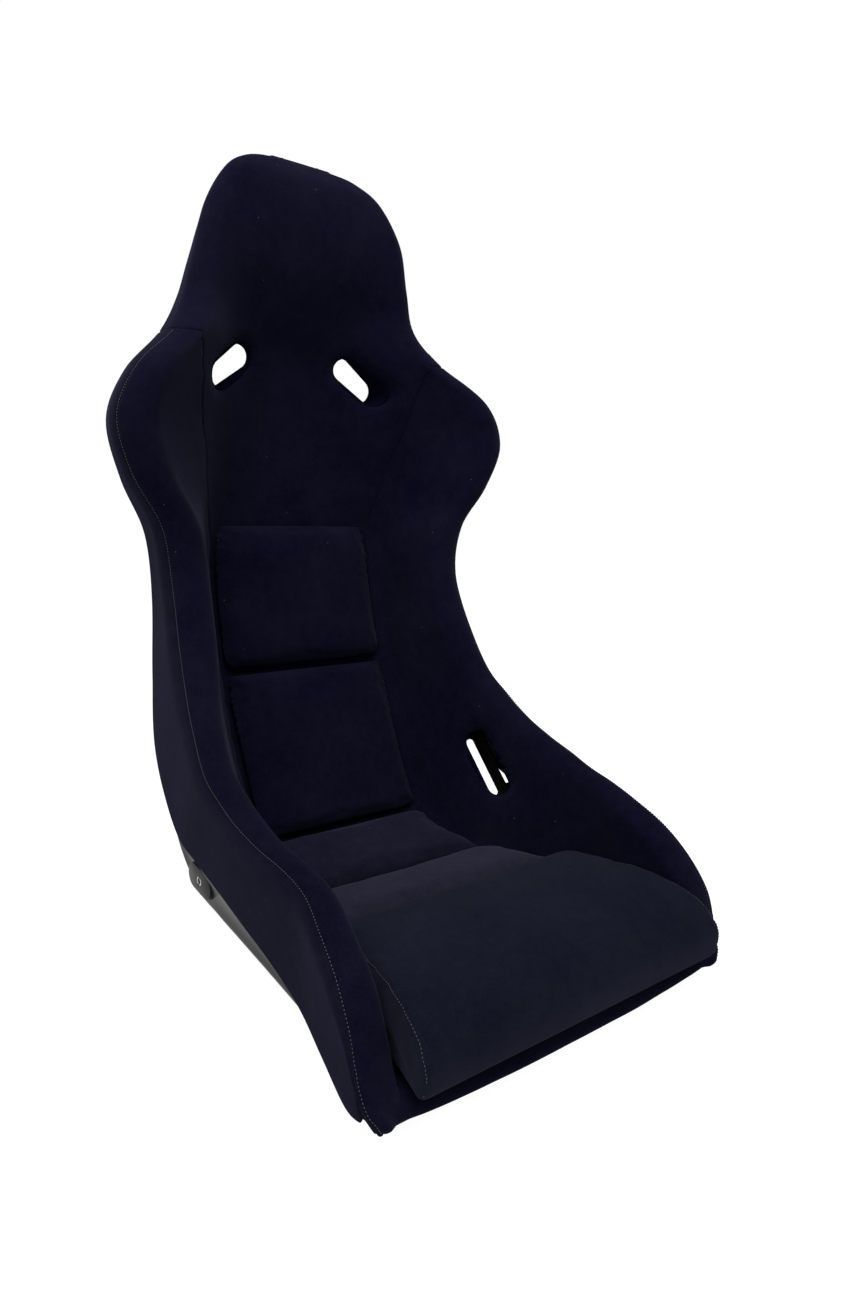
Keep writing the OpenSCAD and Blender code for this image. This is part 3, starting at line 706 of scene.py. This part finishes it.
# ---------------------------------------------------------------- sleeves
def tree_of(o):
    """A search tree over a piece's faces."""
    bm = bmesh.new()
    bm.from_mesh(o.data)
    t = BVHTree.FromBMesh(bm)
    bm.free()
    return t


# the rings of a sleeve: the share of the way from the padding's face to the shell's back, and how far the
# ring stands outside the lined slot
SLEEVE_RINGS = ((-0.03, 5.6), (-0.04, 4.4), (0.0, 2.4), (0.08, 0.9), (0.2, 0.2), (0.5, 0.0), (0.92, 0.1),
                (1.0, 0.7), (1.0, 3.2), (0.5, 4.4), (0.05, 5.6))
SLEEVE_SIDES, SLEEVE_OUT, LEAST_SLEEVE, FARTHEST_FACE = 16, 1.5, 4, 60


def met(trees, at, way, before):
    """How far past the point at, along way, rays that start this far before it meet the pieces."""
    start = Vector((at - way*before)*MM)
    found = [t.ray_cast(start, Vector(way))[3] for t in trees]
    return [d/MM - before for d in found if d is not None]


def sleeve(name, slot, l, w, padding, shell, at_front, at_back, reach, lining):
    """The fabric edge of a slot, from the padding's face to the shell's back."""
    along, across, axis, centre = slot
    front, back = [], []
    for q in obround(l + 2*SLEEVE_OUT, w + 2*SLEEVE_OUT, SLEEVE_SIDES):
        at = centre + q[0]*along + q[1]*across
        faces = [d for d in met(padding, at, axis, reach[0]) if d < FARTHEST_FACE]
        front.append(min(faces) if faces else at_front)
        backs = met(shell, at, -axis, reach[1])
        back.append(-min(backs) if backs else at_back)
    front, back = np.array(front), np.array(back)
    back = np.maximum(back, front + LEAST_SLEEVE)
    rings = []
    for h, grow in SLEEVE_RINGS:
        base = obround(l + 2*(grow - lining), w + 2*(grow - lining), SLEEVE_SIDES)
        depth = front + 0.9 + (back - front - 0.6)*h
        rings.append(centre + base[:, :1]*along + base[:, 1:]*across + depth[:, None]*axis)
    faces = ring_faces(len(rings), len(rings[0]), closed=True)
    o = new_object(name + "_velour", np.concatenate(rings), faces)
    outward(o)
    o.data.shade_smooth()
    return dress(o, name)


# ---------------------------------------------------------------- cushions
def copy_of(node, name):
    """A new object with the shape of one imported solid."""
    src = frame["nodes"][node]
    mesh = src.data.copy()
    mesh.name = name
    mesh.transform(src.matrix_world)
    o = bpy.data.objects.new(name, mesh)
    bpy.context.scene.collection.objects.link(o)
    return o


# the thigh cushion's outline from the side, as Y and Z, round from the rear edge
THIGH_LINE = np.array([[-77, 44], [-76, 62], [-78, 78], [-85, 87], [-100, 93.5], [-127, 101], [-165, 109.5],
                       [-205, 113.5], [-240, 112.5], [-266, 107.5], [-284, 98.5], [-297, 86], [-302.5, 73],
                       [-302.5, 60], [-300, 49], [-294, 43], [-284, 42], [-262, 42.5], [-240, 41], [-205, 36],
                       [-165, 33], [-127, 31], [-100, 30.5], [-84, 32]])
# its half width at each Y
THIGH_HALF = np.array([[-303, 211], [-284, 209], [-266, 206], [-240, 202], [-205, 196], [-165, 191],
                       [-127, 188], [-100, 185], [-76, 181]])
# towards each end of the thigh cushion, the share of its half width and how far its outline draws in
THIGH_ENDS = [(1, 4.0), (0.997, 2.0), (0.991, 0.7), (0.98, 0)]
# the rows that carry the thigh cushion, and the height below which its points rest on them
THIGH_ROWS, THIGH_REST_Z = np.arange(16, 25), 58


def face_height(p, x):
    """The height of a section's padded face over its panel, at the distance x from the middle."""
    line = padded(p, np.linspace(0, RIM_AT, 60))
    return np.interp(np.abs(x), line[:, 0], line[:, 1])


def thigh_half(y):
    return np.interp(y, THIGH_HALF[:, 0], THIGH_HALF[:, 1])


def thigh_loop(shrink, n=96):
    """The side outline, evenly spaced and drawn in by shrink."""
    closed = np.concatenate([THIGH_LINE[-1:], THIGH_LINE, THIGH_LINE[:2]])
    pts = []
    for i in range(1, len(closed) - 2):
        a, b, c, d = closed[i - 1:i + 3]
        for t in np.arange(0, 1, 0.1):
            pts.append(curve(a, b, c, d, t))
    pts = np.array(pts)
    run = np.concatenate([[0], np.cumsum(np.linalg.norm(np.diff(pts, axis=0), axis=1))])
    at = np.linspace(0, run[-1], n, endpoint=False)
    loop = np.stack([np.interp(at, run, pts[:, k]) for k in (0, 1)], 1)
    way = np.roll(loop, -1, 0) - np.roll(loop, 1, 0)
    way /= np.linalg.norm(way, axis=1, keepdims=True)
    normal = np.stack([-way[:, 1], way[:, 0]], 1)
    area = np.sum(loop[:, 0]*np.roll(loop[:, 1], -1) - np.roll(loop[:, 0], -1)*loop[:, 1])
    return loop + normal*shrink*np.sign(area)


def thigh_shape(name, shrink=2.0):
    """The thigh cushion before it swells, drawn in by shrink and resting on the seat."""
    across = [(-u, inset) for u, inset in THIGH_ENDS]
    across += [(u, 0) for u in np.linspace(-0.96, 0.96, 60)] + THIGH_ENDS[::-1]
    rings = []
    for u, inset in across:
        loop = thigh_loop(shrink + inset)
        x = u*(thigh_half(loop[:, 0]) - shrink)
        z = loop[:, 1].copy()
        for i in np.where(z < THIGH_REST_Z)[0]:
            p = station(float(np.interp(-loop[i, 0], -STATIONS[THIGH_ROWS, Y], THIGH_ROWS)))
            z[i] = max(z[i], p[Z] + face_height(p, x[i]) + 1.0)
        rings.append(np.stack([x, loop[:, 0], z], 1))
    c = len(rings[0])
    faces = ring_faces(len(rings), c)
    faces += [tuple(range(c))[::-1], tuple(range((len(rings) - 1)*c, len(rings)*c))]
    o = new_object(name, np.concatenate(rings), faces)
    outward(o)
    return o


def coords(o):
    co = np.zeros(len(o.data.vertices)*3)
    o.data.vertices.foreach_get("co", co)
    return co.reshape(-1, 3)


def set_coords(o, co):
    o.data.vertices.foreach_set("co", np.asarray(co, float).ravel())
    o.data.update()


CLOTH_FRAMES, PRESSURE, STIFFNESS = 20, 4.0, 15.0


def swell(o, cap):
    """Cloth pressure from inside, with a cap on how far a point moves."""
    rest = coords(o)
    c = o.modifiers.new("cloth", "CLOTH")
    s = c.settings
    s.quality = 5
    s.mass = 0.3
    s.tension_stiffness = s.compression_stiffness = STIFFNESS
    s.shear_stiffness = 5
    s.bending_stiffness = 0.5
    s.use_pressure = True
    s.uniform_pressure_force = PRESSURE
    s.effector_weights.gravity = 0
    c.collision_settings.use_collision = False
    scene = bpy.context.scene
    for f in range(1, CLOTH_FRAMES + 1):
        scene.frame_set(f)
    full = o.evaluated_get(bpy.context.evaluated_depsgraph_get())
    co = np.zeros(len(rest)*3)
    full.data.vertices.foreach_get("co", co)
    o.modifiers.clear()
    scene.frame_set(1)
    move = co.reshape(-1, 3) - rest
    far = np.linalg.norm(move, axis=1, keepdims=True)
    set_coords(o, rest + move*np.minimum(1, cap*MM/np.maximum(far, 1e-9)))


def inflate(o, voxel, cap, smooth):
    """Voxel remesh, cloth pressure and one subdivision."""
    m = o.modifiers.new("remesh", "REMESH")
    m.mode, m.voxel_size, m.use_smooth_shade = "VOXEL", voxel*MM, True
    apply_modifiers(o)
    m = o.modifiers.new("smooth", "SMOOTH")
    m.factor, m.iterations = 0.5, smooth
    apply_modifiers(o)
    swell(o, cap)
    m = o.modifiers.new("sub", "SUBSURF")
    m.levels = m.render_levels = 1
    apply_modifiers(o)
    o.data.shade_smooth()


def cushion(node, shape=None, voxel=4.0, cap=3.5, smooth=9):
    name = node + "_velour"
    o = shape(name) if shape else copy_of(node, name)
    inflate(o, voxel, cap, smooth)
    dress(o, node)
    return o


# ---------------------------------------------------------------- stitches
STITCH_PITCH, STITCH_L, SEAM_THREAD_R, CUSHION_THREAD_R, THREAD_LIFT = 3.4, 2.0, 0.45, 0.42, 0.1
# along one stitch, the share of its length and of its radius
STITCH_RINGS = ((0, 0.35), (0.2, 0.9), (0.5, 1.0), (0.8, 0.9), (1, 0.35))
STITCH_SIDES = 6


def laid_on(o, line):
    """The points of a line moved onto a piece's surface."""
    t = tree_of(o)
    out = []
    for q in line:
        at, normal, _, _ = t.find_nearest(Vector(q)*MM)
        out.append((np.array(at) + np.array(normal)*THREAD_LIFT*MM)/MM)
    return out


def stitches(name, line, radius):
    """Separate thread stitches along a line of points."""
    line = np.array(line)
    run = np.concatenate([[0], np.cumsum(np.linalg.norm(np.diff(line, axis=0), axis=1))])
    turns = [2*math.pi*i/STITCH_SIDES for i in range(STITCH_SIDES)]
    pattern = ring_faces(len(STITCH_RINGS), STITCH_SIDES)
    last = STITCH_SIDES*(len(STITCH_RINGS) - 1)
    pattern += [tuple(range(STITCH_SIDES))[::-1], tuple(range(last, last + STITCH_SIDES))]
    verts, faces = [], []
    for d in np.arange(STITCH_PITCH, run[-1] - STITCH_PITCH, STITCH_PITCH):
        a, b = (np.array([np.interp(x, run, line[:, i]) for i in range(3)])
                for x in (d - STITCH_L/2, d + STITCH_L/2))
        t = (b - a)/np.linalg.norm(b - a)
        u = np.cross(t, [0.3, 0.9, 0.2])
        u /= np.linalg.norm(u)
        w = np.cross(t, u)
        faces += [tuple(len(verts) + i for i in f) for f in pattern]
        for x, r in STITCH_RINGS:
            verts += [a + (b - a)*x + radius*r*(u*math.cos(g) + w*math.sin(g)) for g in turns]
    o = new_object(name, verts, faces)
    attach(o, "root")
    return o


# ---------------------------------------------------------------- materials
def new_material(name):
    """A material, its nodes and links, its main shader and the object's coordinates."""
    m = bpy.data.materials.new(name)
    m.use_nodes = True
    nodes, links = m.node_tree.nodes, m.node_tree.links
    return m, nodes, links, nodes["Principled BSDF"], nodes.new("ShaderNodeTexCoord").outputs["Object"]


def noise_node(nodes, links, coord, scale, detail=2.0, rough=0.5):
    n = nodes.new("ShaderNodeTexNoise")
    n.inputs["Scale"].default_value = scale
    n.inputs["Detail"].default_value = detail
    n.inputs["Roughness"].default_value = rough
    links.new(coord, n.inputs["Vector"])
    return n.outputs["Fac"]


def math_node(nodes, links, op, a, b, c=None, clamp=False):
    n = nodes.new("ShaderNodeMath")
    n.operation = op
    n.use_clamp = clamp
    for i, v in enumerate((a, b, c)):
        if v is None:
            continue
        if isinstance(v, (int, float)):
            n.inputs[i].default_value = v
        else:
            links.new(v, n.inputs[i])
    return n.outputs[0]


def range_node(nodes, links, v, lo, hi, to_lo, to_hi):
    n = nodes.new("ShaderNodeMapRange")
    for i, x in enumerate((lo, hi, to_lo, to_hi)):
        n.inputs[i + 1].default_value = x
    links.new(v, n.inputs[0])
    return n.outputs[0]


def mix_node(nodes, links, f, a, b):
    n = nodes.new("ShaderNodeMix")
    n.data_type = "RGBA"
    links.new(f, n.inputs["Factor"])
    for key, v in (("A", a), ("B", b)):
        sock = [i for i in n.inputs if i.name == key and i.type == "RGBA"][0]
        if isinstance(v, tuple):
            sock.default_value = (*v, 1)
        else:
            links.new(v, sock)
    return [o for o in n.outputs if o.type == "RGBA"][0]


def bump_node(nodes, links, shader, height, strength, distance):
    n = nodes.new("ShaderNodeBump")
    n.inputs["Strength"].default_value = strength
    n.inputs["Distance"].default_value = distance
    links.new(height, n.inputs["Height"])
    links.new(n.outputs[0], shader.inputs["Normal"])


# noise scales are in waves for each metre
NAP, PATCH, GRAIN, FIBRE, LINT_CELLS, LINT = 11, 70, 330.0, 1100.0, 62, 0.12


def velour(name, dark, light, sheen):
    """Short-pile fabric: slow changes of the nap, fine fibres and a few specks of lint."""
    m, nodes, links, b, coord = new_material(name)
    nap = noise_node(nodes, links, coord, NAP, 3)
    patch = noise_node(nodes, links, coord, PATCH, 3, 0.6)
    fine = noise_node(nodes, links, coord, FIBRE, 2, 0.7)
    grain = noise_node(nodes, links, coord, GRAIN, 2, 0.6)
    f = math_node(nodes, links, "MULTIPLY_ADD", nap, 0.5, math_node(nodes, links, "MULTIPLY", patch, 0.35))
    f = math_node(nodes, links, "MULTIPLY_ADD", grain, 0.35, f)
    f = math_node(nodes, links, "MULTIPLY_ADD", fine, 0.35, f)
    f = range_node(nodes, links, f, 0.55, 1.0, 0.0, 1.0)
    colour = mix_node(nodes, links, f, dark, light)
    v = nodes.new("ShaderNodeTexVoronoi")
    v.inputs["Scale"].default_value = LINT_CELLS
    v.inputs["Randomness"].default_value = 1.0
    links.new(coord, v.inputs["Vector"])
    dot = range_node(nodes, links, v.outputs["Distance"], 0.03, 0.05, 1.0, 0.0)
    sep = nodes.new("ShaderNodeSeparateColor")
    links.new(v.outputs["Color"], sep.inputs[0])
    # one cell in five has a speck
    pick = math_node(nodes, links, "GREATER_THAN", sep.outputs[0], 0.8)
    speck = math_node(nodes, links, "MULTIPLY", math_node(nodes, links, "MULTIPLY", dot, pick), LINT)
    links.new(mix_node(nodes, links, speck, colour, (0.45, 0.47, 0.5)), b.inputs["Base Color"])
    links.new(range_node(nodes, links, f, 0, 1, 0.85, 0.97), b.inputs["Roughness"])
    b.inputs["Specular IOR Level"].default_value = 0.0
    b.inputs["Sheen Weight"].default_value = sheen
    b.inputs["Sheen Roughness"].default_value = 0.5
    b.inputs["Sheen Tint"].default_value = (0.5, 0.52, 0.8, 1)
    pile = math_node(nodes, links, "MULTIPLY_ADD", grain, 0.8, fine)
    bump_node(nodes, links, b, pile, 0.35, 0.0006)
    return m


def gloss_black():
    """The shell's gel coat, a little uneven and dusty."""
    m, nodes, links, b, coord = new_material("gloss_shell")
    slow = noise_node(nodes, links, coord, 14, 2)
    fine = noise_node(nodes, links, coord, 240, 2)
    dust = noise_node(nodes, links, coord, 900, 1)
    tone = range_node(nodes, links, slow, 0.3, 0.7, 0, 1)
    colour = mix_node(nodes, links, tone, (0.006, 0.006, 0.007), (0.012, 0.012, 0.014))
    links.new(colour, b.inputs["Base Color"])
    r = math_node(nodes, links, "MULTIPLY_ADD", slow, 0.14, 0.2)
    links.new(math_node(nodes, links, "MULTIPLY_ADD", dust, 0.05, r), b.inputs["Roughness"])
    b.inputs["Specular IOR Level"].default_value = 0.08
    bump_node(nodes, links, b, math_node(nodes, links, "MULTIPLY_ADD", fine, 0.5, slow), 0.05, 0.001)
    return m


def steel():
    m, nodes, links, b, coord = new_material("insert_steel")
    f = noise_node(nodes, links, coord, 400, 3)
    links.new(mix_node(nodes, links, f, (0.42, 0.43, 0.45), (0.6, 0.61, 0.62)), b.inputs["Base Color"])
    links.new(range_node(nodes, links, f, 0, 1, 0.28, 0.45), b.inputs["Roughness"])
    b.inputs["Metallic"].default_value = 1
    return m


def hook_tape():
    m, nodes, links, b, coord = new_material("hook_tape")
    f = noise_node(nodes, links, coord, 700, 2)
    links.new(mix_node(nodes, links, f, (0.01, 0.01, 0.01), (0.03, 0.03, 0.03)), b.inputs["Base Color"])
    b.inputs["Roughness"].default_value = 0.8
    bump_node(nodes, links, b, f, 0.6, 0.0008)
    return m


def thread():
    m, nodes, links, b, coord = new_material("thread")
    f = noise_node(nodes, links, coord, 1500, 2)
    links.new(mix_node(nodes, links, f, (0.011, 0.011, 0.02), (0.028, 0.028, 0.04)), b.inputs["Base Color"])
    b.inputs["Roughness"].default_value = 0.7
    return m


def wear(o, m):
    o.data.materials.clear()
    o.data.materials.append(m)


# ---------------------------------------------------------------- build
fabric = velour("velour", (0.0014, 0.0014, 0.0066), (0.0052, 0.0054, 0.0136), 0.045)
fabric_side = velour("velour_side", (0.0022, 0.0023, 0.0074), (0.0064, 0.0066, 0.0142), 0.055)
fabric_thigh = velour("velour_thigh_cushion", (0.0026, 0.0034, 0.0082), (0.0072, 0.0086, 0.0152), 0.06)
fabric_rear = velour("velour_rear_pad", (0.003, 0.003, 0.009), (0.0092, 0.0094, 0.019), 0.08)
fabric_middle = velour("velour_middle_pad", (0.0075, 0.0078, 0.0155), (0.017, 0.0174, 0.029), 0.1)
# the slot linings use the same velour made darker, as painted shade inside the belt slots, and have no sheen
slot_velour_painted_shade = velour("velour_slot_edge_painted_shade", (0.001, 0.001, 0.004), (0.003, 0.003, 0.009), 0.0)
shell_mat, thread_mat, metal, tape = gloss_black(), thread(), steel(), hook_tape()

centre = make_centre_cover()
bolsters = [make_bolster(True), make_bolster(False)]
side_covers = [make_side_cover(True), make_side_cover(False)]
liner = make_liner()
lip = make_lip()
shell = make_shell()
bosses = make_bosses()

padding_trees = [tree_of(o) for o in [centre] + bolsters]
shell_trees = [tree_of(shell)]
sleeves = []
for side, tag in SIDES:
    sleeves.append(sleeve("harness_sleeve_" + tag, harness_frame(side), HARNESS_L, HARNESS_W, padding_trees,
                          shell_trees, at_front=4, at_back=14, reach=(70, 110), lining=3.2))
    sleeves.append(sleeve("lap_sleeve_" + tag, lap_frame(side), LAP_L, LAP_W, padding_trees,
                          shell_trees, at_front=10, at_back=45, reach=(45, 30), lining=1.0))

upper = cushion("upper_back_cushion")
lower = cushion("lower_back_cushion")
rear = cushion("rear_seat_pad")
middle = cushion("middle_seat_pad")
thigh = cushion("thigh_cushion", thigh_shape, voxel=4.5, cap=3.0, smooth=5)

for side, tag in SIDES:
    line = [surface(s, [side*STITCH_AT])[0] for s in np.arange(NECK_ROW + 0.05, END - 0.6, 0.02)]
    wear(stitches("seam_stitches_" + tag, line, SEAM_THREAD_R), thread_mat)
    line = [(side*(thigh_half(y) - 1.5), y, z) for y, z in thigh_loop(0) if z > 50 and y < -90]
    # from the cushion's rear over its top to the front edge, as an angle about a point inside it
    line.sort(key=lambda q: math.atan2(q[2] - 60, q[1] + 200))
    wear(stitches("thigh_stitches_" + tag, laid_on(thigh, line), CUSHION_THREAD_R), thread_mat)

for pieces, material in (([centre, liner, lip, upper, lower] + bolsters, fabric), ([thigh], fabric_thigh),
                         ([rear], fabric_rear), ([middle], fabric_middle), (sleeves, slot_velour_painted_shade),
                         (side_covers, fabric_side), ([shell] + bosses, shell_mat)):
    for o in pieces:
        wear(o, material)
for name, o in frame["nodes"].items():
    if name.startswith("mount_inserts"):
        wear(o, metal)
    elif name.endswith("strips"):
        wear(o, tape)


# ---------------------------------------------------------------- stage
FLOOR_R, FLOOR_SIDES, FLOOR_GLOW, FLOOR_SHARE = 9000.0, 64, 1.22, 0.78


def ray_is_seen(nodes, links):
    """One for what the camera sees, also in a reflection or through glass."""
    lp = nodes.new("ShaderNodeLightPath")
    a = math_node(nodes, links, "ADD", lp.outputs["Is Camera Ray"], lp.outputs["Is Glossy Ray"])
    return math_node(nodes, links, "ADD", a, lp.outputs["Is Transmission Ray"], clamp=True)


def make_floor():
    n = FLOOR_SIDES
    turns = [2*math.pi*i/n for i in range(n)]
    verts = [(0, 0, 0)] + [(FLOOR_R*math.cos(t), FLOOR_R*math.sin(t), 0) for t in turns]
    o = new_object("floor", verts, [(0, i + 1, (i + 1) % n + 1) for i in range(n)], False)
    m = bpy.data.materials.new("floor_white")
    m.use_nodes = True
    nodes, links = m.node_tree.nodes, m.node_tree.links
    b = nodes["Principled BSDF"]
    b.inputs["Base Color"].default_value = (0.86, 0.86, 0.86, 1)
    b.inputs["Roughness"].default_value = 0.9
    b.inputs["Specular IOR Level"].default_value = 0.1
    e = nodes.new("ShaderNodeEmission")
    e.inputs["Strength"].default_value = FLOOR_GLOW
    mix = nodes.new("ShaderNodeMixShader")
    links.new(math_node(nodes, links, "MULTIPLY", ray_is_seen(nodes, links), FLOOR_SHARE), mix.inputs[0])
    links.new(b.outputs[0], mix.inputs[1])
    links.new(e.outputs[0], mix.inputs[2])
    links.new(mix.outputs[0], nodes["Material Output"].inputs["Surface"])
    wear(o, m)


def make_world():
    w = bpy.data.worlds.new("studio")
    bpy.context.scene.world = w
    w.use_nodes = True
    nodes, links = w.node_tree.nodes, w.node_tree.links
    bg = nodes["Background"]
    seen = ray_is_seen(nodes, links)
    links.new(range_node(nodes, links, seen, 0, 1, 0.3, 1.0), bg.inputs["Strength"])
    bg.inputs["Color"].default_value = (1, 1, 1, 1)


def area(name, at, look, size, power):
    """A square soft light. Places and sizes are metres here."""
    d = bpy.data.lights.new(name, "AREA")
    d.shape, d.size, d.energy = "SQUARE", size, power
    o = bpy.data.objects.new(name, d)
    bpy.context.scene.collection.objects.link(o)
    o.location = at
    o.rotation_mode = "QUATERNION"
    o.rotation_quaternion = (Vector(look) - Vector(at)).to_track_quat("-Z", "Y")
    o.visible_camera = False


make_floor()
make_world()
area("key", (-0.5, -0.5, 2.6), (0, 0, 0.3), 1.6, 78)
area("fill", (-2.2, -1.2, 1.2), (0, 0, 0.4), 1.6, 16)
area("rim", (1.8, 0.8, 1.5), (0, 0, 0.4), 1.2, 5)

bpy.context.scene.view_settings.view_transform = "Standard"
